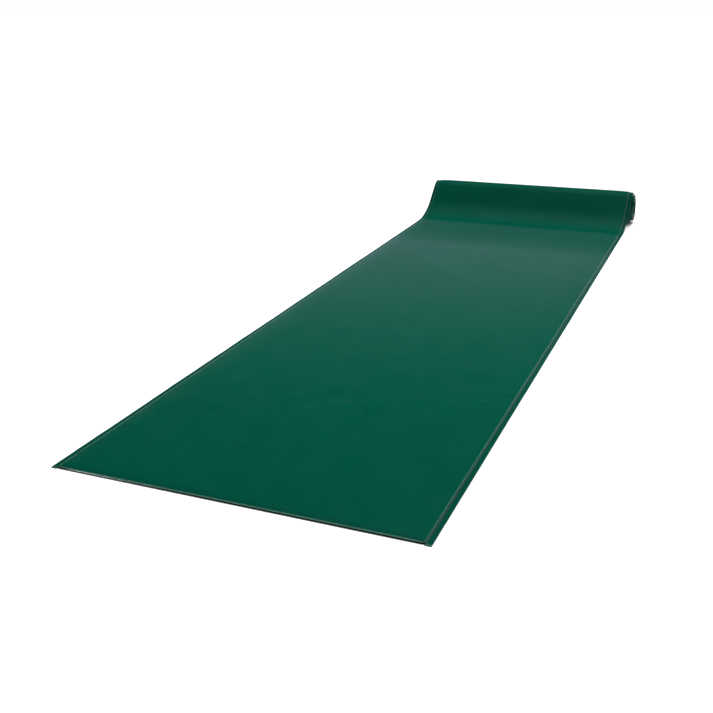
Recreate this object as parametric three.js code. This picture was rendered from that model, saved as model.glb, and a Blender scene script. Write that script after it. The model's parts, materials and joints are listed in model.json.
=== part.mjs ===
// A padded roll-out putting mat: a vinyl-covered foam sheet with a flat sewn hem along both sides.
// It lies flat on the floor, and its far end rises and is rolled under itself, putting face outwards.
// Millimetres, +Z up, +X across the mat, +Y along it from the front edge towards the roll.

import * as THREE from 'three';

// Driving dimensions of the sheet.
const MAT_WIDTH = 900; // over both hems
const MAT_THICKNESS = 6; // padded body, base face to putting face
const COVER_THICKNESS = 0.8;
const LAYER_GAP = 0.3; // between pieces that lie on each other
const HEM_WIDTH = 15;
const HEM_THICKNESS = 1.6; // the two covers pressed together
const HEM_LEAD = 2; // how far the hems run on past the padded body at the front corners
const THREAD_WIDTH = 1.2;
const THREAD_HEIGHT = 0.6;
const THREAD_INSET = 0.5; // from the padded body's side to the thread
const FOLD_DEPTH = 5; // the closed fold across each end, along the mat

// Driving dimensions of the lie of the mat.
const FLAT_LENGTH = 2540; // front edge to the line where the sheet leaves the floor
const FLAP_LENGTH = 150; // each of the panels that bend when the front end is lifted
const FLAP_NAMES = ['front_tip', 'front_middle', 'front_heel'];
const RISE_RADIUS = 250; // base face of the sheet where it curves up off the floor
const RISE_ANGLE = THREE.MathUtils.degToRad(41);
const ROLL_RADIUS = 69;
const WRAP_END = THREE.MathUtils.degToRad(225); // outer wrap, counted from the top over the back
const COIL_START = THREE.MathUtils.degToRad(270); // the inner coil starts at the roll's front
const COIL_TURNS = 5;
const COIL_AIR = 0.8; // between two turns
const COIL_CLEARANCE = 0.9; // around the coil, inside the outer wrap
const COIL_STEP = THREE.MathUtils.degToRad(15);
const RISE_STEPS = 6;
const NOSE_SEGMENTS = 5;
const SLEEVE_MARGIN = 32; // core left inside the covers after one turn has been paid out

// Worked out from the dimensions above.
const bodyHalfWidth = MAT_WIDTH / 2 - HEM_WIDTH;
const hemInner = bodyHalfWidth + LAYER_GAP;
const threadInner = hemInner + THREAD_INSET;
const threadLow = HEM_THICKNESS + LAYER_GAP;
const coreLow = COVER_THICKNESS + LAYER_GAP;
const coreHigh = MAT_THICKNESS - coreLow;
const bodyStart = HEM_LEAD + FOLD_DEPTH + LAYER_GAP;
const wrapRadius = ROLL_RADIUS - MAT_THICKNESS;
const coilRadius = wrapRadius - COIL_CLEARANCE - MAT_THICKNESS;
const coilPitch = MAT_THICKNESS + COIL_AIR;
const payOutPerTurn = 2 * Math.PI * (coilRadius + MAT_THICKNESS / 2);
const coreOverlap = payOutPerTurn + SLEEVE_MARGIN;

const arcRise = RISE_RADIUS * (1 - Math.cos(RISE_ANGLE));
const wrapStartHeight = ROLL_RADIUS + wrapRadius * Math.cos(RISE_ANGLE);
const straightRun = (wrapStartHeight - arcRise) / Math.tan(RISE_ANGLE);
const rollCentre = {
  y: FLAT_LENGTH + (RISE_RADIUS + wrapRadius) * Math.sin(RISE_ANGLE) + straightRun,
  z: ROLL_RADIUS,
};

// One colour and finish for each kind of piece.
const FINISHES = {
  putting_face: { color: 0x00503f, roughness: 0.42 },
  underside: { color: 0x0a3a30, roughness: 0.6 },
  foam: { color: 0x2c302e, roughness: 0.95 },
  hem: { color: 0x0a5a48, roughness: 0.4 },
  thread: { color: 0x0b3f33, roughness: 0.7 },
};

// The layers of the sheet, by height over the base face and reach across the mat.
const BODY_LAYERS = [
  { piece: 'base_cover', low: 0, high: COVER_THICKNESS, finish: 'underside' },
  { piece: 'foam_core', low: coreLow, high: coreHigh, finish: 'foam' },
  { piece: 'top_cover', low: MAT_THICKNESS - COVER_THICKNESS, high: MAT_THICKNESS, finish: 'putting_face' },
];
const EDGE_LAYERS = [
  { piece: 'hem', low: 0, high: HEM_THICKNESS, inner: hemInner, width: MAT_WIDTH / 2 - hemInner, finish: 'hem' },
  { piece: 'seam', low: threadLow, high: threadLow + THREAD_HEIGHT, inner: threadInner, width: THREAD_WIDTH,
    finish: 'thread' },
];

// A station is a point on the base face and the slope of the sheet there, in the plane along the mat.
const onFloor = (y) => ({ y, z: 0, slope: 0 });

const onRise = (angle) => ({
  y: FLAT_LENGTH + RISE_RADIUS * Math.sin(angle),
  z: RISE_RADIUS * (1 - Math.cos(angle)),
  slope: angle,
});

// turn is counted from the top of the roll, over the back.
const onRoll = (turn, radius) => ({
  y: rollCentre.y + radius * Math.sin(turn),
  z: rollCentre.z + radius * Math.cos(turn),
  slope: -turn,
});

// Each turn of the coil is round for three quarters, then steps in by one pitch over the last quarter.
function coilStation(turn) {
  const turnsIn = (turn - COIL_START) / (2 * Math.PI);
  const whole = Math.floor(turnsIn + 1e-9);
  const stepIn = THREE.MathUtils.smoothstep(turnsIn - whole, 0.75, 1);
  return onRoll(turn, coilRadius - coilPitch * (whole + stepIn));
}

// Even steps from one value to another, both ends included.
function spread(from, to, steps, make) {
  return Array.from({ length: steps + 1 }, (_, i) => make(from + ((to - from) * i) / steps));
}

// The outer wrap's stations lie on whole steps from the top, so that it reaches its full height and depth.
function wrapStations() {
  const stations = [onRoll(-RISE_ANGLE, wrapRadius)];
  for (let step = Math.ceil(-RISE_ANGLE / COIL_STEP); step * COIL_STEP <= WRAP_END + 1e-9; step += 1) {
    stations.push(onRoll(step * COIL_STEP, wrapRadius));
  }
  return stations;
}

function leadStations(start) {
  const flat = start < FLAT_LENGTH ? [onFloor(start)] : [];
  return [...flat, ...spread(0, RISE_ANGLE, RISE_STEPS, onRise), ...wrapStations()];
}

const coilEnd = COIL_START + COIL_TURNS * 2 * Math.PI;
const coilStations = () => spread(COIL_START, coilEnd, COIL_TURNS * Math.round((2 * Math.PI) / COIL_STEP), coilStation);

const mat = new THREE.Group();
const model = new THREE.Group();
model.add(mat);

// The plane along the mat is drawn in a shape's own plane, and the extrusion runs across the mat.
mat.quaternion.setFromRotationMatrix(
  new THREE.Matrix4().makeBasis(
    new THREE.Vector3(0, 1, 0),
    new THREE.Vector3(0, 0, 1),
    new THREE.Vector3(1, 0, 0),
  ),
);

function addAcross(name, shape, left, width, finish, curveSegments = 1) {
  const geometry = new THREE.ExtrudeGeometry(shape, { depth: width, bevelEnabled: false, curveSegments });
  const material = new THREE.MeshStandardMaterial({ ...FINISHES[finish], metalness: 0 });
  const mesh = new THREE.Mesh(geometry, material);
  mesh.name = name;
  mesh.position.z = left;
  mat.add(mesh);
}

function liftedFrom(station, height) {
  return new THREE.Vector2(
    station.y - height * Math.sin(station.slope),
    station.z + height * Math.cos(station.slope),
  );
}

// A strip follows the stations between two heights over the base face.
function addStrip(name, stations, layer, left, width) {
  const under = stations.map((station) => liftedFrom(station, layer.low));
  const over = stations.map((station) => liftedFrom(station, layer.high));
  addAcross(name, new THREE.Shape([...under, ...over.reverse()]), left, width, layer.finish);
}

// One zone of the sheet: its padded body and, along both sides, its hem and seam.
function addZone(zone, bodyStations, edgeStations, coreStations = bodyStations) {
  for (const layer of BODY_LAYERS) {
    const stations = layer.piece === 'foam_core' ? coreStations : bodyStations;
    addStrip(`${zone}_${layer.piece}`, stations, layer, -bodyHalfWidth, 2 * bodyHalfWidth);
  }
  for (const layer of EDGE_LAYERS) {
    addStrip(`${zone}_right_${layer.piece}`, edgeStations, layer, layer.inner, layer.width);
    addStrip(`${zone}_left_${layer.piece}`, edgeStations, layer, -layer.inner - layer.width, layer.width);
  }
}

const flatPiece = (from, to) => [onFloor(from), onFloor(to)];

// The front panels, each up to a bend line, with the padded body starting behind the front fold.
FLAP_NAMES.forEach((zone, i) => {
  const edgeFrom = i === 0 ? 0 : i * FLAP_LENGTH + LAYER_GAP / 2;
  const bodyFrom = i === 0 ? bodyStart : edgeFrom;
  const to = (i + 1) * FLAP_LENGTH - LAYER_GAP / 2;
  addZone(zone, flatPiece(bodyFrom, to), flatPiece(edgeFrom, to));
});

// The long flat run. Its covers go on over the end of the lead's core, which slides out of them.
const runStart = FLAP_NAMES.length * FLAP_LENGTH + LAYER_GAP / 2;
const runEnd = FLAT_LENGTH - LAYER_GAP;
const leadCoreStart = FLAT_LENGTH - coreOverlap;
addZone(
  'run',
  flatPiece(runStart, runEnd),
  flatPiece(runStart, runEnd),
  flatPiece(runStart, leadCoreStart - LAYER_GAP),
);

// The lead rises off the floor and wraps over the roll. The coil lies inside it.
addZone('lead', leadStations(FLAT_LENGTH), leadStations(FLAT_LENGTH), leadStations(leadCoreStart));
addZone('coil', coilStations(), coilStations());

// The front fold closes the padded body with a round nose.
function addFrontFold() {
  const noseRadius = MAT_THICKNESS / 2;
  const back = HEM_LEAD + FOLD_DEPTH;
  const outline = new THREE.Shape();
  outline.moveTo(back, 0);
  outline.lineTo(back, MAT_THICKNESS);
  outline.lineTo(HEM_LEAD + noseRadius, MAT_THICKNESS);
  outline.absarc(HEM_LEAD + noseRadius, noseRadius, noseRadius, Math.PI / 2, (3 * Math.PI) / 2, false);
  addAcross('front_fold', outline, -bodyHalfWidth, 2 * bodyHalfWidth, 'putting_face', NOSE_SEGMENTS);
}

// The rear fold closes the inner end of the coil.
function addRearFold() {
  const endRadius = coilRadius - coilPitch * COIL_TURNS;
  const midRadius = endRadius + MAT_THICKNESS / 2;
  const from = coilEnd + LAYER_GAP / endRadius;
  const stations = spread(from, from + FOLD_DEPTH / midRadius, 1, (turn) => onRoll(turn, endRadius));
  const layer = { low: 0, high: MAT_THICKNESS, finish: 'putting_face' };
  addStrip('rear_fold', stations, layer, -bodyHalfWidth, 2 * bodyHalfWidth);
}

addFrontFold();
addRearFold();

// The origin is on the floor, under the middle of the mat as it lies.
mat.position.y = -(rollCentre.y + ROLL_RADIUS) / 2;

export default model;
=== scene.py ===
import json
import math
from collections import namedtuple

import bpy
import numpy as np
from mathutils import Matrix, Vector


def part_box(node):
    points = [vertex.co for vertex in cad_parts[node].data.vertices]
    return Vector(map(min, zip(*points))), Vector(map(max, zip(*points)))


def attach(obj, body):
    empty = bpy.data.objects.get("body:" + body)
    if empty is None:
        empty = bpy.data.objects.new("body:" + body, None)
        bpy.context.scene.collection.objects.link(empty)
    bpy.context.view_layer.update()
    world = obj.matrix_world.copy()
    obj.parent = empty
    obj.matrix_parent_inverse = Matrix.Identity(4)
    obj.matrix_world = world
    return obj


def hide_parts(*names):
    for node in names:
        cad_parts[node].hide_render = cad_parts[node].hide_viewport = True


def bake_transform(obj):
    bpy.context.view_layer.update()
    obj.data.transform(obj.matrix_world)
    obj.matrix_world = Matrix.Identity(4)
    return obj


# The visual model of a padded roll-out putting mat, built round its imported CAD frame.
# Metres. +X is across the mat, +Y along it from the front edge to the roll, +Z up.
# Every piece of the sheet is drawn flat, in places (x across, distance from the front edge, height over
# the base face), and is then laid along a path that runs over the floor, up the rise and round the roll.

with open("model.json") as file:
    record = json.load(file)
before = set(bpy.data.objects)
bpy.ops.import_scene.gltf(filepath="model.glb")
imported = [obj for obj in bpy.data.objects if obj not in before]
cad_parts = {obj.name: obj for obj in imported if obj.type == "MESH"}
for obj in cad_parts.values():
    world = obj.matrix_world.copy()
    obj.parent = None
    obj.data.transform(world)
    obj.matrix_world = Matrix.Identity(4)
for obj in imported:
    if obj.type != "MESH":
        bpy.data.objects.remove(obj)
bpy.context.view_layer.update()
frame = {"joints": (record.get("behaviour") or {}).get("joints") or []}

# Sizes and places that the CAD frame gives.
joints = {joint["name"]: joint for joint in frame["joints"]}
sheet_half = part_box("run_right_hem")[1].x
hem_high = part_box("run_right_hem")[1].z
body_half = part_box("run_top_cover")[1].x
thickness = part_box("run_top_cover")[1].z
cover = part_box("run_base_cover")[1].z
core_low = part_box("run_foam_core")[0].z
core_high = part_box("run_foam_core")[1].z
thread_low, thread_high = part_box("run_right_seam")
front_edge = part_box("front_tip_right_hem")[0].y
fold_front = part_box("front_fold")[0].y
fold_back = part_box("front_fold")[1].y
lift_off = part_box("lead_base_cover")[0].y
tip_line = joints["front_tip_bend"]["pos_m"][1]
middle_line = joints["front_middle_bend"]["pos_m"][1]
heel_line = joints["front_lift"]["pos_m"][1]
roll_y, roll_z = joints["coil_turn"]["pos_m"][1:]
wrap_radius = roll_z - thickness
coil_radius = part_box("coil_top_cover")[1].z - roll_z - thickness

# The lie of the sheet, as the CAD source has it.
RISE_RADIUS = 0.250
RISE_ANGLE = math.radians(41)
COIL_AIR = 0.0008
COIL_TURNS = 5
COIL_START = math.radians(270)
FOLD_DEPTH = 0.005
coil_pitch = thickness + COIL_AIR
coil_end = COIL_START + COIL_TURNS * math.tau

# The wrap thins out and the coil grows from almost nothing over one quarter turn, so that the spiral
# reads as one sheet, although the two ride on different bodies.
SCARF_START = math.radians(180)
SCARF_END = COIL_START
SCARF_THIN = 0.02  # share of the thickness that is left at the thin end

# How the real sheet differs from a plain strip.
SHOULDER = 0.005  # width of the rounded shoulder at each side of the padded body
SHOULDER_GAP = 0.0001  # from the hem to the shoulder's foot
SHOULDER_POWER = 0.9  # below 1 makes the shoulder fuller than an ellipse
CROWN_WIDTH = 0.060  # the putting face falls over this width, inside the shoulder
CROWN_DROP = 0.0015  # and falls by this much
HEM_TUCK = 0.0006  # the hem's inner rim lies under the shoulder's foot
RIM_ROUND = 0.0004  # the hem's cut rim is rounded over this width
HEM_SPLIT = 0.0002  # depth of the notch between the hem's two layers
SPLIT_HALF = 0.00002  # half the height that is left at the notch's bottom
FRONT_DROP = 0.0014  # the body is this much thinner at the front fold
FRONT_ROUND = 0.024  # and reaches its full thickness over this length
SWELL = 0.00018  # height of the slow unevenness of the putting face
HEM_LIFT = 0.0009  # how far the hem's outer rim stands off its bed at most
HEM_WANDER = 0.0005  # and how far it draws in
ROLL_CURL = 0.8  # both are larger by this share on the rise and the roll
CURL_REACH = 0.3  # and grow to that over this length
COIL_OUT = 0.0105  # the inner turns stand out at the right end
COIL_SETTLE = 0.25  # and come out over this length
COIL_WANDER = 0.0020  # the inner turns wander from side to side
COIL_WAVE = 7.3  # radians of that wander in a metre
COIL_UNEVEN = 0.0002  # unevenness of the coil's radius, once half a turn has been wound
UNEVEN_WAVES = 3.3  # and its waves in a turn
ROUND_SHARE = 0.75  # the share of each turn of the coil that is round
NOSE_POINTS = 14  # points round the front fold
NOSE_POWER = 0.8  # below 1 makes the fold blunter than an ellipse
NOSE_CORNER = 0.004  # the front fold is rounded off over this width at both sides
NOSE_CUT = 0.5  # and loses this share of its depth there
BEND_REACH = 0.075  # from a bend line to the ends of the pieces that bend there
BEND_BLEND = 0.050  # from a bend line to the ends of the stretch that bends
RUN_MARGIN = 0.115  # from the run's visual end to the line where the sheet lifts off

STITCH_PITCH = 0.005
STITCH_LENGTH = 0.0036
STITCH_RISE = 0.0007  # thickness of the thread
STITCH_BED = 0.35  # the thread's middle lies this share of its thickness over the hem
STITCH_SIDES = 6
# The rings of half a stitch, from its middle outwards: their distance along it as a share of its half
# length, their girth as a share of the thread's, and how far they have sunk as a share of its thickness.
HALF_STITCH = np.array([(0.45, 1.0, 0.0), (0.86, 0.85, 0.15), (1.0, 0.45, 0.54)])

# How finely the path is divided.
FLAT_STEP = 0.012
BEND_STEP = 0.005
TIP_STEP = 0.0025
RISE_STEP = math.radians(1.5)
WRAP_STEP = math.radians(3)
COIL_STEP = math.radians(4)

# Edges sharper than this are drawn sharp.
SHARP_ANGLE = math.radians(40)

# The mesh attribute that keeps each point's place on the flat sheet, for the finishes.
PLACE = "sheet_place"

# The columns of a path, which has one row for each station.
Y, Z, SLOPE, ALONG = range(4)


def smooth(value, start, end):
    """0 before start, 1 after end, and a smooth step between them."""
    share = np.clip((value - start) / (end - start), 0, 1)
    return share * share * (3 - 2 * share)


# ---- The path that the sheet's base face follows ----

def even(start, end, step):
    """Evenly spaced values from start to end, no further apart than step."""
    return np.linspace(start, end, max(1, math.ceil((end - start) / step - 1e-6)) + 1)


def on_floor(y):
    """The stations of a path at these places on the floor, each with its y, z and slope."""
    return np.stack([y, 0 * y, 0 * y], axis=1)


def on_rise(angle):
    """Stations on the arc that lifts the sheet off the floor."""
    y = lift_off + RISE_RADIUS * np.sin(angle)
    z = RISE_RADIUS * (1 - np.cos(angle))
    return np.stack([y, z, angle], axis=1)


def on_roll(turn, radius):
    """Stations on the roll. turn is counted from the roll's top, over its back."""
    y = roll_y + radius * np.sin(turn)
    z = roll_z + radius * np.cos(turn)
    return np.stack([y, z, -turn], axis=1)


def measured(stations, along):
    """The stations with their distance from the front edge along the middle of the sheet."""
    middle_y = stations[:, Y] - thickness / 2 * np.sin(stations[:, SLOPE])
    middle_z = stations[:, Z] + thickness / 2 * np.cos(stations[:, SLOPE])
    steps = np.hypot(np.diff(middle_y), np.diff(middle_z))
    return np.column_stack([stations, along + np.concatenate([[0], np.cumsum(steps)])])


def flat_path(start, end, step):
    return measured(on_floor(even(start, end, step)), start - front_edge)


def lead_path(start):
    """The path of the lead: the last of the floor, the rise, a straight slope and the wrap."""
    rise = on_rise(even(0, RISE_ANGLE, RISE_STEP))
    wrap = on_roll(even(-RISE_ANGLE, SCARF_END, WRAP_STEP), wrap_radius)
    flat = on_floor(even(start, lift_off, FLAT_STEP))[:-1]
    count = math.ceil(np.linalg.norm(wrap[0, :2] - rise[-1, :2]) / FLAT_STEP)
    straight = np.linspace(rise[-1], wrap[0], count + 1)[1:-1]
    return measured(np.concatenate([flat, rise, straight, wrap]), start - front_edge)


def coil_base_radius(turn):
    """The radius of the coil's base face: each turn is round for most of its way, then steps in."""
    turns_in = np.maximum((turn - COIL_START) / math.tau, 0)
    whole = np.floor(turns_in + 1e-9)
    step_in = smooth(turns_in - whole, ROUND_SHARE, 1)
    uneven = COIL_UNEVEN * np.sin(UNEVEN_WAVES * turn) * smooth(turns_in, 0, 0.5)
    return coil_radius - coil_pitch * (whole + step_in) + uneven


def coil_path(along):
    turn = even(SCARF_START, coil_end, COIL_STEP)
    return measured(on_roll(turn, coil_base_radius(turn)), along)


lead = lead_path(lift_off - RUN_MARGIN)
scarf_along = np.interp(-SCARF_START, lead[::-1, SLOPE], lead[::-1, ALONG])
scarf_along_end = lead[-1, ALONG]
coil = coil_path(scarf_along)
inner_radius = coil_base_radius(coil_end)
rear_turn = even(coil_end, coil_end + FOLD_DEPTH / inner_radius, COIL_STEP / 4)
rear = measured(on_roll(rear_turn, np.full_like(rear_turn, inner_radius)), coil[-1, ALONG])


# ---- The sheet's own shape, before it is laid along the path ----

# The numbers inside the sines of swell and hem_lift are radians in a metre, chosen so that nothing repeats.

def swell(x, along):
    """The putting face's slow unevenness, from 0 to 1."""
    across = np.sin(9.1 * x + 2.3 * np.sin(3.7 * along)) * np.cos(17.0 * along + 4.0 * x)
    finer = np.sin(31.0 * along - 13.0 * x) * np.sin(23.0 * x + 5.0 * along)
    return 0.5 + 0.33 * across + 0.17 * finer


def hem_lift(along, side):
    """How far the hem's outer rim stands off its bed, from 0 to 1."""
    shift = 1.7 * side
    slow = np.sin(11.0 * along + shift) * np.sin(4.3 * along - 2 * shift)
    fast = np.sin(57.0 * along + 3 * shift) * np.sin(23.0 * along)
    return np.clip(0.35 + 0.4 * slow + 0.25 * fast, 0, 1)


def worn_in(x, along, height):
    """The place of a point once the sheet has been cut, sewn and used."""
    side = np.sign(x)
    above_hem = np.clip((height - hem_high) / (thickness - hem_high), 0, 1)
    front = 1 - smooth(along, fold_back - front_edge, fold_back - front_edge + FRONT_ROUND)
    lowered = above_hem * (SWELL * swell(x, along) + FRONT_DROP * front)
    outward = np.clip((np.abs(x) - body_half) / (sheet_half - body_half), 0, 1) ** 2
    curled = 1 + ROLL_CURL * smooth(along, lift_off - front_edge, lift_off - front_edge + CURL_REACH)
    lift = outward * HEM_LIFT * curled * hem_lift(along, side)
    wander = outward * HEM_WANDER * curled * hem_lift(along * 0.7 + 5, -side)
    return x - side * wander, height - lowered + lift


def wrap_shape(x, along, height):
    """The wrap thins towards its base face over the scarf."""
    new_x, new_height = worn_in(x, along, height)
    full = 1 - (1 - SCARF_THIN) * smooth(along, scarf_along, scarf_along_end)
    return new_x, new_height * full


def coil_shape(x, along, height):
    """The coil grows from its putting face over the scarf, and its turns don't lie quite flush."""
    new_x, new_height = worn_in(x, along, height)
    full = SCARF_THIN + (1 - SCARF_THIN) * smooth(along, scarf_along, scarf_along_end)
    settled = smooth(along, scarf_along_end, scarf_along_end + COIL_SETTLE)
    shift = settled * (COIL_OUT + COIL_WANDER * np.sin(COIL_WAVE * (along - scarf_along_end)))
    return new_x + shift, thickness - (thickness - new_height) * full


def mirrored(right):
    """A line of (x, height) points from the middle to the right side, and its mirror image before it."""
    left = right[:0:-1] * [-1, 1]
    return np.concatenate([left, right])


def inset(line, distance):
    """The line moved inwards, square to itself."""
    run = np.gradient(line, axis=0)
    run /= np.linalg.norm(run, axis=1)[:, None]
    return line + distance * np.stack([run[:, 1], -run[:, 0]], axis=1)


def level_line(half, height, count=24):
    """A level line from the middle of the sheet to half of its width."""
    return np.stack([np.linspace(0, half, count), np.full(count, height)], 1)


def top_line():
    """The top cover's outer face, from the middle over the crown and the shoulder to the groove."""
    shoulder_x = body_half - SHOULDER
    foot = hem_high + SHOULDER_GAP
    drop = thickness - CROWN_DROP - foot
    share = np.linspace(0, 1, 9)[1:]
    angle = np.linspace(0, math.pi / 2, 11)[1:]
    middle = level_line(shoulder_x - CROWN_WIDTH, thickness, 16)
    crown = [shoulder_x - CROWN_WIDTH * (1 - share), thickness - CROWN_DROP * share**2]
    shoulder = [shoulder_x + SHOULDER * np.sin(angle), foot + drop * np.cos(angle) ** SHOULDER_POWER]
    return np.concatenate([middle, np.stack(crown, 1), np.stack(shoulder, 1)])


def core_line(surface, count=24):
    """The foam's upper face, which follows the crown under the top cover's surface."""
    x = np.linspace(0, body_half - SHOULDER, count)
    height = np.interp(x, surface[:, 0], surface[:, 1])
    return np.stack([x, height - (thickness - core_high)], 1)


def hem_lines(side):
    """The hem's upper and lower faces, which meet in a notch between its two layers at the cut rim."""
    flat_x = np.linspace(body_half - HEM_TUCK, sheet_half - RIM_ROUND, 9)
    x = np.concatenate([flat_x, sheet_half - np.array([RIM_ROUND / 4, 0, HEM_SPLIT])])
    drop = np.array([RIM_ROUND / 2, RIM_ROUND * 7 / 8, hem_high / 2 - SPLIT_HALF])
    height = hem_high - np.concatenate([np.zeros(9), drop])
    upper = np.stack([side * x, height], 1)
    lower = np.stack([side * x, hem_high - height], 1)
    return (upper, lower) if side > 0 else (upper[::-1], lower[::-1])


outer_top = top_line()

# The upper and lower lines of each layer's section across the sheet.
SECTIONS = {
    "top_cover": (
        mirrored(outer_top),
        mirrored(inset(outer_top, cover)),
    ),
    "foam_core": (
        mirrored(core_line(outer_top)),
        mirrored(level_line(body_half - SHOULDER / 2, core_low)),
    ),
    "base_cover": (
        mirrored(level_line(body_half - HEM_TUCK, cover)),
        mirrored(level_line(body_half - cover, 0)),
    ),
    "right_hem": hem_lines(1),
    "left_hem": hem_lines(-1),
}


# ---- Meshes ----

def laid(path, x, along, height):
    """The points at these places of the sheet, once it lies along the path."""
    y, z, slope = (np.interp(along, path[:, ALONG], path[:, k]) for k in (Y, Z, SLOPE))
    return np.stack([x, y - height * np.sin(slope), z + height * np.cos(slope)], axis=-1)


def piece(name, points, places, quads, finish):
    """A new object, whose points keep their places on the flat sheet."""
    mesh = bpy.data.meshes.new(name)
    mesh.from_pydata(points.reshape(-1, 3).tolist(), [], quads.reshape(-1, 4).tolist())
    mesh.shade_smooth()
    mesh.set_sharp_from_angle(angle=SHARP_ANGLE)
    held = mesh.attributes.new(PLACE, "FLOAT_VECTOR", "POINT")
    held.data.foreach_set("vector", places.astype(np.float32).ravel())
    mesh.materials.append(finish.material)
    made = bpy.data.objects.new(name, mesh)
    bpy.context.scene.collection.objects.link(made)
    return made


def tube_quads(rings, size):
    """The quads of a tube: rings one after another, each with size points."""
    i, j = np.meshgrid(np.arange(rings - 1), np.arange(size), indexing="ij")
    after = (j + 1) % size
    corners = [i * size + j, i * size + after, (i + 1) * size + after, (i + 1) * size + j]
    return np.stack(corners, axis=-1).reshape(-1, 4)


def swept(name, path, lines, shape, finish):
    """A closed solid between an upper and a lower line, laid along the path."""
    upper, lower = lines
    ring = np.concatenate([upper, lower[::-1]])
    size = len(ring)
    along, x = np.meshgrid(path[:, ALONG], ring[:, 0], indexing="ij")
    height = np.broadcast_to(ring[:, 1], x.shape)
    new_x, new_height = shape(x, along, height)
    y = path[:, Y, None] - new_height * np.sin(path[:, SLOPE, None])
    z = path[:, Z, None] + new_height * np.cos(path[:, SLOPE, None])
    j = np.arange(len(upper) - 1)
    cap = np.stack([size - 1 - j, size - 2 - j, j + 1, j], axis=1)
    far_cap = cap[:, ::-1] + (len(path) - 1) * size
    quads = np.concatenate([tube_quads(len(path), size), cap, far_cap])
    points = np.stack([new_x, y, z], -1)
    places = np.stack([x, along, height], -1)
    return piece(name, points, places, quads, finish)


def stitching(name, path, start, end, side, shape, finish):
    """A row of separate stitches that dive into the hem at both ends."""
    rings = np.concatenate([HALF_STITCH[::-1] * [-1, 1, 1], HALF_STITCH])
    reach, girth, sink = rings.T[:, :, None]
    angle = np.arange(STITCH_SIDES) * math.tau / STITCH_SIDES
    half_width = (thread_high.x - thread_low.x) / 2
    middle_x = side * (thread_high.x + thread_low.x) / 2
    first, last = math.ceil(start / STITCH_PITCH), math.ceil(end / STITCH_PITCH)
    centres = (np.arange(first, last) + 0.5) * STITCH_PITCH
    along, x, height = np.broadcast_arrays(
        centres[:, None, None] + STITCH_LENGTH / 2 * reach,
        middle_x + half_width * girth * np.sin(angle),
        hem_high + STITCH_RISE * (STITCH_BED - sink + girth * np.cos(angle) / 2),
    )
    new_x, new_height = shape(x, along, height)
    points = laid(path, new_x, along, new_height)
    per_stitch = len(rings) * STITCH_SIDES
    near_cap = np.array([(3, 2, 1, 0), (5, 4, 3, 0)])
    far_cap = near_cap[:, ::-1] + per_stitch - STITCH_SIDES
    one = np.concatenate([tube_quads(len(rings), STITCH_SIDES), near_cap, far_cap])
    quads = (np.arange(len(centres)) * per_stitch)[:, None, None] + one
    return piece(name, points, np.stack([x, along, height], -1), quads, finish)


# ---- Finishes ----

# A vinyl has two greens that its patches vary between, and a paler one for its painted highlights.
PUTTING_GREENS = ((0.0, 0.060, 0.036), (0.0002, 0.066, 0.041), (0.08, 0.17, 0.14))
HEM_GREENS = ((0.0, 0.050, 0.030), (0.0003, 0.058, 0.037), (0.03, 0.12, 0.09))
UNDERSIDE_GREENS = ((0.006, 0.040, 0.028), (0.010, 0.055, 0.040), (0.04, 0.11, 0.09))
# Painted shade behind the front fold, and under it.
FOLD_SHADE_COLOUR = (0.0, 0.03, 0.018)
FOLD_UNDER_SHADE = (0.0, 0.004, 0.003)
# The cut rim's pale colour: partly its own and partly painted highlight.
RIM_TONE_AND_HIGHLIGHT = (0.30, 0.40, 0.36)
NEEDLE_HOLE_SHADE = (0.001, 0.012, 0.008)
STITCH_BAND_GREY = (0.045, 0.078, 0.070)
THREAD_GREYS = ((0.035, 0.075, 0.066), (0.075, 0.125, 0.115))
FOAM_GREYS = ((0.03, 0.035, 0.033), (0.08, 0.09, 0.085))

# Scales are in cells for each metre. A grain is the scale and the depth of a vinyl's pebbles.
FINE_GRAIN = (750.0, 0.000012)
HEM_GRAIN = (900.0, 0.000012)
COARSE_GRAIN = (420.0, 0.00008)
PATCH_SCALE = 3.5
MOTTLE_SCALE = 40.0
SHEEN_SCALE = 14.0
WAVE_SCALE = 18.0
WAVE_HEIGHT = 0.0002
HIGHLIGHT_SCALE = 160.0
BREAKUP_SCALE = 420.0
GLINT_SCALE = 60.0
STRAND_SCALE = 600.0
STRAND_DEPTH = 0.00006
FLUFF_SCALE = 90.0
PORE_SCALE = 1400.0
PORE_DEPTH = 0.0001

# Specular IOR Level: the vinyls and the thread mirror less than a plain coat of plastic does.
VINYL_GLOSS = 0.25

# Painted highlights and shade, and other marks of the sheet. Distances along the sheet are from the front
# edge.
HIGHLIGHT_FROM = 0.0026  # the painted highlight line on the shoulder, measured inwards from the padded body's side
HIGHLIGHT_TO = 0.0009
HIGHLIGHT_STRENGTH = 0.75
LEFT_EDGE_SHARE = 0.2  # the share of the edge's painted highlights and other marks that shows on the left side
SIDE_BLEND = 0.1  # half the width over which the left side's share turns into the right side's
ROLL_EDGE_SHARE = 0.2  # the share of the edge's painted highlights and other marks that shows on the roll
ROLL_FROM = 2.3  # the painted edge highlights and other marks start to fade here, on their way to the roll
ROLL_TO = 2.6
FOLD_LINE = 0.0075  # the painted highlight line on the front fold ends this far from the front edge
FOLD_LINE_SOFT = 0.001
FOLD_SHADE = 0.013  # and a band of painted shade behind it fades out over this length
FOLD_SHADE_DEPTH = 0.45
FOLD_UNDER = 0.0036  # the front fold is painted black as its own shade below this height
FOLD_UNDER_SOFT = 0.0006
STITCH_BAND_HALF = 0.0018  # half the width of the greyer band along the stitch row
STITCH_BAND_SOFT = 0.0005
HOLE_OUTER = 0.0011  # a needle hole's painted shade starts at this radius
HOLE_INNER = 0.0006  # and is full at this one

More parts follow.
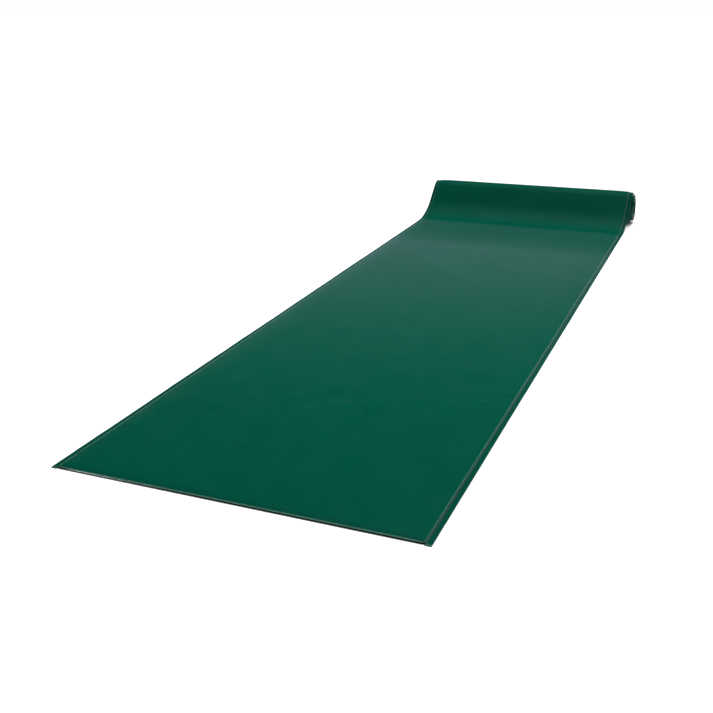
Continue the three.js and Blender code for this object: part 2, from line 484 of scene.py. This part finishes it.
# The putting face is shaded as if it rose by this height between these two distances from the front edge.
# The real sheet starts to lift there, and the CAD sheet lies flat for longer.
LIFT_FROM = 2.15
LIFT_TO = 2.85
LIFT_HEIGHT = 0.023

# place is the shaded point's place on the flat sheet, and x, along and height are its three parts.
Finish = namedtuple("Finish", "material tree shader place x along height")


def add(tree, kind, sockets=(), **settings):
    """A new shader node. sockets is {input: value or the output that feeds it}."""
    made = tree.nodes.new(kind)
    for name, value in settings.items():
        setattr(made, name, value)
    for name, value in dict(sockets).items():
        if isinstance(value, bpy.types.NodeSocket):
            tree.links.new(value, made.inputs[name])
        else:
            made.inputs[name].default_value = value
    return made


def noise(tree, place, scale, detail=3.0):
    sockets = {"Vector": place, "Scale": scale, "Detail": detail}
    return add(tree, "ShaderNodeTexNoise", sockets).outputs["Fac"]


def ranged(tree, value, low, high, to_low=0.0, to_high=1.0, kind="LINEAR"):
    """The value's share of the way from low to high, as a number from to_low to to_high."""
    sockets = {"Value": value, "From Min": low, "From Max": high, "To Min": to_low, "To Max": to_high}
    return add(tree, "ShaderNodeMapRange", sockets, interpolation_type=kind).outputs["Result"]


def maths(tree, operation, first, second=0.0):
    return add(tree, "ShaderNodeMath", {0: first, 1: second}, operation=operation).outputs[0]


def mixed(tree, share, first, second):
    """A colour between the first and the second, each a colour or the output that feeds it."""
    made = add(tree, "ShaderNodeMix", {"Factor": share}, data_type="RGBA")
    for index, value in ((6, first), (7, second)):
        if isinstance(value, bpy.types.NodeSocket):
            tree.links.new(value, made.inputs[index])
        else:
            made.inputs[index].default_value = (*value, 1)
    return made.outputs[2]


def bumped(tree, height, distance, normal=None):
    """A normal tilted by this height, on top of the bumps of another normal."""
    sockets = {"Height": height, "Distance": distance, "Strength": 1.0}
    if normal is not None:
        sockets["Normal"] = normal
    return add(tree, "ShaderNodeBump", sockets).outputs["Normal"]


def started(name):
    """A new finish, whose shader is still plain."""
    material = bpy.data.materials.new(name)
    material.use_nodes = True
    tree = material.node_tree
    place = add(tree, "ShaderNodeAttribute", attribute_name=PLACE).outputs["Vector"]
    x, along, height = add(tree, "ShaderNodeSeparateXYZ", {0: place}).outputs
    return Finish(material, tree, tree.nodes["Principled BSDF"], place, x, along, height)


def feed(made, socket, value):
    """Feed the shader's socket with an output, or set it to a number."""
    if isinstance(value, bpy.types.NodeSocket):
        made.tree.links.new(value, made.shader.inputs[socket])
    else:
        made.shader.inputs[socket].default_value = value


def fed(made, socket):
    """The output that feeds the shader's socket."""
    return made.shader.inputs[socket].links[0].from_socket


def edge_highlight_and_marks(made, on_roll):
    """How strongly the edge's painted highlights and other marks show: more on the right side, where light
    catches the edge, than on the left, and on_roll on the roll.
    """
    sided = ranged(made.tree, made.x, -SIDE_BLEND, SIDE_BLEND, LEFT_EDGE_SHARE, 1.0)
    rolled = ranged(made.tree, made.along, ROLL_FROM, ROLL_TO, 1.0, on_roll)
    return maths(made.tree, "MULTIPLY", sided, rolled)


def vinyl(name, greens, roughness, grain):
    """Smooth coated cloth: slow and fine colour variation, a painted highlight line on the shoulder and on
    the front fold, a band of painted shade behind the fold, and a pebbled grain.
    """
    made = started(name)
    tree, place = made.tree, made.place
    patchy = maths(tree, "ADD", noise(tree, place, PATCH_SCALE, 2), noise(tree, place, MOTTLE_SCALE))
    colour = mixed(tree, ranged(tree, patchy, 0.7, 1.3), *greens[:2])

    # Painted highlight: a pale line on the front fold.
    on_fold = ranged(tree, made.along, FOLD_LINE, FOLD_LINE - FOLD_LINE_SOFT)
    # Painted shade: a darker band behind that line.
    near_fold = ranged(tree, made.along, FOLD_LINE + FOLD_SHADE, FOLD_LINE)
    on_band = maths(tree, "SUBTRACT", near_fold, on_fold)
    colour = mixed(tree, maths(tree, "MULTIPLY", on_band, FOLD_SHADE_DEPTH), colour, FOLD_SHADE_COLOUR)

    # Painted highlight: a pale line along the shoulder, where light catches it, stronger on the right side
    # and faint on the roll.
    inside = maths(tree, "SUBTRACT", body_half, maths(tree, "ABSOLUTE", made.x))
    off_line = maths(tree, "SUBTRACT", inside, (HIGHLIGHT_FROM + HIGHLIGHT_TO) / 2)
    on_line = maths(tree, "LESS_THAN", maths(tree, "ABSOLUTE", off_line), (HIGHLIGHT_FROM - HIGHLIGHT_TO) / 2)
    on_shoulder = maths(tree, "MULTIPLY", on_line, edge_highlight_and_marks(made, ROLL_EDGE_SHARE))
    uneven = ranged(tree, noise(tree, place, HIGHLIGHT_SCALE), 0.3, 0.6, 0.5, 1.0)
    highlighted = maths(tree, "MULTIPLY", maths(tree, "MAXIMUM", on_shoulder, on_fold), uneven)
    colour = mixed(tree, maths(tree, "MULTIPLY", highlighted, HIGHLIGHT_STRENGTH), colour, greens[2])
    feed(made, "Base Color", colour)

    sheen = noise(tree, place, SHEEN_SCALE, 4)
    feed(made, "Roughness", ranged(tree, sheen, 0.3, 0.7, roughness - 0.03, roughness + 0.04))
    feed(made, "Specular IOR Level", VINYL_GLOSS)

    grain_scale, grain_depth = grain
    cells = {"Vector": place, "Scale": grain_scale}
    pebbles = add(tree, "ShaderNodeTexVoronoi", cells, feature="SMOOTH_F1").outputs["Distance"]
    tipped = ranged(tree, made.along, LIFT_FROM, LIFT_TO, kind="SMOOTHSTEP")
    slow = bumped(tree, noise(tree, place, WAVE_SCALE, 2), WAVE_HEIGHT, bumped(tree, tipped, LIFT_HEIGHT))
    feed(made, "Normal", bumped(tree, pebbles, grain_depth, slow))
    return made


def hem_vinyl():
    """The hem's vinyl: a pale cut rim, partly its own colour and partly painted highlight, a greyer band
    along the stitch row, and needle holes painted dark as their shade.
    """
    made = vinyl("hem_vinyl", HEM_GREENS, roughness=0.2, grain=HEM_GRAIN)
    tree, place = made.tree, made.place
    away = maths(tree, "ABSOLUTE", made.x)
    edge_breakup = ranged(tree, noise(tree, place, BREAKUP_SCALE), 0.35, 0.6, 0.45, 1.0)
    # The cut rim is paler, partly its own colour and partly painted highlight, stronger on the right; on
    # the roll it shows only as painted glints.
    rim = ranged(tree, away, sheet_half - RIM_ROUND, sheet_half - RIM_ROUND / 4)
    glints = ranged(tree, noise(tree, place, GLINT_SCALE), 0.57, 0.62)
    rim_share = maths(tree, "MULTIPLY", edge_breakup, edge_highlight_and_marks(made, glints))
    colour = mixed(tree, maths(tree, "MULTIPLY", rim, rim_share), fed(made, "Base Color"), RIM_TONE_AND_HIGHLIGHT)

    # A greyer band along the stitch row, weighted by side and roll like the painted edge highlights.
    off_row = maths(tree, "SUBTRACT", away, (thread_low.x + thread_high.x) / 2)
    on_stitch_band = ranged(tree, maths(tree, "ABSOLUTE", off_row), STITCH_BAND_HALF, STITCH_BAND_HALF - STITCH_BAND_SOFT)
    band_share = maths(tree, "MULTIPLY", edge_breakup, edge_highlight_and_marks(made, ROLL_EDGE_SHARE))
    colour = mixed(tree, maths(tree, "MULTIPLY", on_stitch_band, band_share), colour, STITCH_BAND_GREY)

    # Painted shade: dark needle holes between the stitches.
    off_hole = maths(tree, "PINGPONG", made.along, STITCH_PITCH / 2)
    squares = [maths(tree, "MULTIPLY", off, off) for off in (off_row, off_hole)]
    hole = ranged(tree, maths(tree, "SQRT", maths(tree, "ADD", *squares)), HOLE_OUTER, HOLE_INNER)
    feed(made, "Base Color", mixed(tree, hole, colour, NEEDLE_HOLE_SHADE))
    return made


def fold_vinyl():
    """The front fold's vinyl: a little glossier on top, and painted black as its own shade, without gloss,
    where it turns under.
    """
    made = vinyl("fold_vinyl", PUTTING_GREENS, roughness=0.16, grain=FINE_GRAIN)
    under = ranged(made.tree, made.height, FOLD_UNDER, FOLD_UNDER - FOLD_UNDER_SOFT)
    feed(made, "Base Color", mixed(made.tree, under, fed(made, "Base Color"), FOLD_UNDER_SHADE))
    feed(made, "Specular IOR Level", ranged(made.tree, under, 0.0, 1.0, 0.5, 0.0))
    return made


def thread():
    """Twisted thread: slanting strands in colour and bump."""
    made = started("thread")
    tree, place = made.tree, made.place
    twist = {"Vector": place, "Scale": STRAND_SCALE, "Distortion": 1.5}
    strands = add(tree, "ShaderNodeTexWave", twist, bands_direction="DIAGONAL").outputs["Fac"]
    varied = maths(tree, "MULTIPLY", strands, noise(tree, place, FLUFF_SCALE))
    feed(made, "Base Color", mixed(tree, ranged(tree, varied, 0.1, 0.6), *THREAD_GREYS))
    feed(made, "Roughness", 0.6)
    feed(made, "Specular IOR Level", VINYL_GLOSS)
    feed(made, "Normal", bumped(tree, strands, STRAND_DEPTH))
    return made


def foam():
    """Closed-cell foam: fine pores in colour and bump."""
    made = started("foam")
    tree = made.tree
    cells = {"Vector": made.place, "Scale": PORE_SCALE}
    pores = add(tree, "ShaderNodeTexVoronoi", cells).outputs["Distance"]
    feed(made, "Base Color", mixed(tree, ranged(tree, pores, 0.1, 0.7), *FOAM_GREYS))
    feed(made, "Roughness", 0.9)
    feed(made, "Normal", bumped(tree, pores, PORE_DEPTH))
    return made


putting_finish = vinyl("putting_vinyl", PUTTING_GREENS, roughness=0.18, grain=FINE_GRAIN)
foam_finish = foam()
underside_finish = vinyl("underside_vinyl", UNDERSIDE_GREENS, roughness=0.5, grain=COARSE_GRAIN)
hem_finish = hem_vinyl()
thread_finish = thread()

# The finish and the slot of each layer.
FINISHES = {
    "top_cover": (putting_finish, "putting_face"),
    "foam_core": (foam_finish, "foam"),
    "base_cover": (underside_finish, "underside"),
    "right_hem": (hem_finish, "hem"),
    "left_hem": (hem_finish, "hem"),
}


# ---- The zones of the sheet ----

def flat_zone(start, end, step):
    """The paths of a flat zone: its padded body's and its hems'."""
    path = flat_path(start, end, step)
    return path, path


def at(y):
    """The point on the floor in the middle of the sheet."""
    return (0, y, 0)


def bend(a, b, line):
    """How a piece moves that bends at this line, from body a to body b."""
    return {"blend": (a, b, at(line - BEND_BLEND), at(line + BEND_BLEND))}


tip_end = tip_line - BEND_REACH
run_start = heel_line + BEND_REACH
run_end = lift_off - RUN_MARGIN

# Each zone's name, its paths, its shape, how it moves, and the CAD zones whose nodes it replaces.
ZONES = [
    ("tip", (flat_path(fold_back, tip_end, TIP_STEP), flat_path(front_edge, tip_end, TIP_STEP)), worn_in,
     {"ride": "front_tip"}, ["front_tip"]),
    ("tip_bend", flat_zone(tip_end, tip_line + BEND_REACH, BEND_STEP), worn_in,
     bend("front_tip", "front_middle", tip_line), ["front_middle"]),
    ("middle_bend", flat_zone(middle_line - BEND_REACH, middle_line + BEND_REACH, BEND_STEP), worn_in,
     bend("front_middle", "front_heel", middle_line), ["front_heel"]),
    ("heel_bend", flat_zone(heel_line - BEND_REACH, run_start, BEND_STEP), worn_in,
     bend("front_heel", "run", heel_line), ["front_heel", "run"]),
    ("flat_run", flat_zone(run_start, run_end, FLAT_STEP), worn_in,
     {"blend": ("run", "lead", at(run_start + RUN_MARGIN), at(run_end - RUN_MARGIN))}, ["run"]),
    ("rise_and_wrap", (lead, lead), wrap_shape, {"ride": "lead"}, ["lead"]),
    ("inner_coil", (coil, coil), coil_shape, {"ride": "coil"}, ["coil"]),
]

# The real sheet starts to rise so gently that its flat end mirrors the sky over the roll, not the roll.
UNMIRRORED = ("rise_and_wrap", "inner_coil")


def carry(made, motion):
    """Let the piece ride on its body; a piece that blends between two bodies only has its transform baked
    into its mesh here.
    """
    if "ride" in motion:
        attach(made, motion["ride"])
    else:
        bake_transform(made)


def stitched_span(zone, path):
    """The stretch of this zone that is stitched. The wrap and the coil share the scarf half and half."""
    start, end = path[0, ALONG], path[-1, ALONG]
    middle = (scarf_along + scarf_along_end) / 2
    if zone == "tip":
        start += STITCH_PITCH
    if zone == "rise_and_wrap":
        end = middle
    if zone == "inner_coil":
        start = middle
    return start, end


for zone, (body_path, hem_path), shape, motion, cad_zones in ZONES:
    made = {}
    for layer, lines in SECTIONS.items():
        finish, slot = FINISHES[layer]
        path = hem_path if "hem" in layer else body_path
        made[layer] = swept(f"{zone}_{layer}", path, lines, shape, finish)
        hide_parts(*(f"{cad}_{layer}" for cad in cad_zones))
    for side, word in ((1, "right"), (-1, "left")):
        start, end = stitched_span(zone, hem_path)
        row = stitching(f"{zone}_{word}_stitching", hem_path, start, end, side, shape, thread_finish)
        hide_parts(*(f"{cad}_{word}_seam" for cad in cad_zones))
        made[f"{word}_stitching"] = row
    for one in made.values():
        carry(one, motion)
        one.visible_glossy = zone not in UNMIRRORED


# ---- The folds that close the sheet's two ends ----

def front_fold():
    """A round nose across the front, as high as the body's front end at every x."""
    line = mirrored(outer_top)
    x, high = worn_in(line[:, 0], np.full(len(line), fold_back - front_edge), line[:, 1])
    angle = np.linspace(0, math.pi, NOSE_POINTS)
    corner = 1 - NOSE_CUT * smooth(np.abs(x), body_half - NOSE_CORNER, body_half)
    depth = (fold_back - fold_front) * corner
    y = fold_back - depth[:, None] * np.sin(angle) ** NOSE_POWER
    z = high[:, None] / 2 * (1 + np.cos(angle))
    points = np.stack([np.broadcast_to(x[:, None], y.shape), y, z], -1)
    places = points - [0, front_edge, 0]
    j = np.arange(NOSE_POINTS // 2 - 1)
    cap = np.stack([j, j + 1, NOSE_POINTS - 2 - j, NOSE_POINTS - 1 - j], axis=1)
    far_cap = cap + (len(line) - 1) * NOSE_POINTS
    sides = tube_quads(len(line), NOSE_POINTS)[:, ::-1]
    quads = np.concatenate([sides, cap[:, ::-1], far_cap])
    made = piece("front_fold_nose", points, places, quads, fold_vinyl())
    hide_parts("front_fold")
    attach(made, "front_tip")
    return made


def rear_fold():
    """The sheet's inner end, closed by a round fold, which stops just before it thins to nothing."""
    start, end = rear[0, ALONG], rear[-1, ALONG]

    def rounded(x, along, height):
        new_x, new_height = coil_shape(x, along, height)
        left = np.sqrt(np.clip(1 - ((along - start) / (end - start)) ** 2, 0.01, 1))
        return new_x, thickness / 2 + (new_height - thickness / 2) * left

    upper = mirrored(outer_top)
    lower = upper * [1, 0]
    made = swept("rear_fold_nose", rear, (upper, lower), rounded, putting_finish)
    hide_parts("rear_fold")
    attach(made, "coil")


front_nose = front_fold()
rear_fold()


# ---- Stage, light and camera ----

FLOOR_HALF = 30.0
FLOOR_TONES = (0.83, 0.87)
FLOOR_SCALE = 2.0
FLOOR_GLOW = 0.42
SHADE_REACH = 0.1  # the floor glows less this close to the mat
SHADE_POWER = 2.0

# The sun and the softbox light the mat evenly, and no mirror ray sees them.
SUN_STRENGTH = 2.75
SUN_TILT = math.radians(36)
SUN_ANGLE = math.radians(50)
BOX_PLACE = (0.0, 1.10, 2.2)
BOX_TARGET = (0.0, 0.15, 0.0)
BOX_SIZE = 3.0
BOX_SPREAD = math.radians(70)
BOX_POWER = 30.0

# The card gives only the highlight on the front fold.
CARD_PLACE = (-1.74, -2.41, 1.46)
CARD_SIZE = 0.45
CARD_POWER = 60.0

# What mirror rays see over the horizon: two strengths, and the two heights between which each fades out.
LOW_SKY = 0.20
LOW_SKY_FADE = (math.radians(16.5), math.radians(20.5))
HORIZON_SKY = 1.0
HORIZON_FADE = (math.radians(3), math.radians(14))
SKY_TINT = (0.72, 0.78, 1.0)
DOME = 0.12  # what diffuse rays see, all round

# The camera stands where the photograph was taken from, if the mat is as wide as the CAD has it.
CAMERA_PLACE = (0.9278, -2.9367, 1.0058)
CAMERA_YAW = math.radians(22.75)
CAMERA_PITCH = math.radians(-21.35)
CAMERA_ROLL = math.radians(-0.845)
CAMERA_LENS = 48.19
CAMERA_SENSOR = 36.0


def make_floor():
    """A plain pale floor, which glows a little so that it is white, but less where the mat shades it."""
    material = bpy.data.materials.new("floor")
    material.use_nodes = True
    tree = material.node_tree
    shader = tree.nodes["Principled BSDF"]
    place = add(tree, "ShaderNodeTexCoord").outputs["Object"]
    tones = [(tone,) * 3 for tone in FLOOR_TONES]
    tree.links.new(mixed(tree, noise(tree, place, FLOOR_SCALE), *tones), shader.inputs["Base Color"])
    shader.inputs["Roughness"].default_value = 0.9
    shader.inputs["Emission Color"].default_value = (1, 1, 1, 1)
    open_sky = add(tree, "ShaderNodeAmbientOcclusion", {"Distance": SHADE_REACH}).outputs["AO"]
    glow = maths(tree, "MULTIPLY", maths(tree, "POWER", open_sky, SHADE_POWER), FLOOR_GLOW)
    tree.links.new(glow, shader.inputs["Emission Strength"])
    mesh = bpy.data.meshes.new("floor")
    corners = [(x * FLOOR_HALF, y * FLOOR_HALF, 0) for x, y in ((-1, -1), (1, -1), (1, 1), (-1, 1))]
    mesh.from_pydata(corners, [], [(0, 1, 2, 3)])
    mesh.materials.append(material)
    made = bpy.data.objects.new("floor", mesh)
    bpy.context.scene.collection.objects.link(made)


def make_light(name, kind, place, target, power, **settings):
    """A light at this place, turned to its target."""
    light = bpy.data.lights.new(name, kind)
    light.energy = power
    for key, value in settings.items():
        setattr(light, key, value)
    made = bpy.data.objects.new(name, light)
    made.location = place
    made.rotation_euler = (Vector(target) - Vector(place)).to_track_quat("-Z", "Y").to_euler()
    bpy.context.scene.collection.objects.link(made)
    return made


def make_lights():
    behind = (0, math.tan(SUN_TILT), 1)
    sun = make_light("sun", "SUN", behind, (0, 0, 0), SUN_STRENGTH, angle=SUN_ANGLE)
    box = make_light("softbox", "AREA", BOX_PLACE, BOX_TARGET, BOX_POWER, size=BOX_SIZE, spread=BOX_SPREAD)
    for light in (sun, box):
        light.visible_glossy = False
        light.visible_camera = False
    fold_corner = (-body_half, fold_front, 0)
    card = make_light("card", "AREA", CARD_PLACE, fold_corner, CARD_POWER, size=CARD_SIZE)
    card.visible_diffuse = False
    card.visible_camera = False
    receivers = bpy.data.collections.new("card_receivers")
    receivers.objects.link(front_nose)
    card.light_linking.receiver_collection = receivers


def make_world():
    """White for the camera, a soft dome for diffuse rays, and a bright band low down for mirror rays."""
    world = bpy.data.worlds.new("studio")
    bpy.context.scene.world = world
    world.use_nodes = True
    # The world isn't sampled as a light, because what it shows depends on the kind of ray.
    world.cycles.sampling_method = "NONE"
    tree = world.node_tree
    direction = add(tree, "ShaderNodeTexCoord").outputs["Generated"]
    height = add(tree, "ShaderNodeSeparateXYZ", {0: direction}).outputs[2]
    bands = [
        ranged(tree, height, math.sin(full), math.sin(faded), strength, 0.0)
        for strength, (full, faded) in ((LOW_SKY, LOW_SKY_FADE), (HORIZON_SKY, HORIZON_FADE))
    ]
    path = add(tree, "ShaderNodeLightPath").outputs
    mirrored_sky = maths(tree, "MULTIPLY", path["Is Glossy Ray"], maths(tree, "ADD", *bands))
    soft = maths(tree, "MULTIPLY", path["Is Diffuse Ray"], DOME)
    strength = maths(tree, "ADD", maths(tree, "ADD", mirrored_sky, path["Is Camera Ray"]), soft)
    tint = mixed(tree, path["Is Glossy Ray"], (1, 1, 1), SKY_TINT)
    tree.links.new(strength, tree.nodes["Background"].inputs["Strength"])
    tree.links.new(tint, tree.nodes["Background"].inputs["Color"])


def make_camera():
    data = bpy.data.cameras.new("camera")
    data.lens = CAMERA_LENS
    data.sensor_width = CAMERA_SENSOR
    made = bpy.data.objects.new("camera", data)
    turned = (
        Matrix.Rotation(CAMERA_YAW, 4, "Z")
        @ Matrix.Rotation(math.pi / 2 + CAMERA_PITCH, 4, "X")
        @ Matrix.Rotation(CAMERA_ROLL, 4, "Z")
    )
    made.matrix_world = Matrix.Translation(CAMERA_PLACE) @ turned
    bpy.context.scene.collection.objects.link(made)
    bpy.context.scene.camera = made


make_floor()
make_lights()
make_world()
make_camera()
bpy.context.scene.view_settings.view_transform = "Standard"
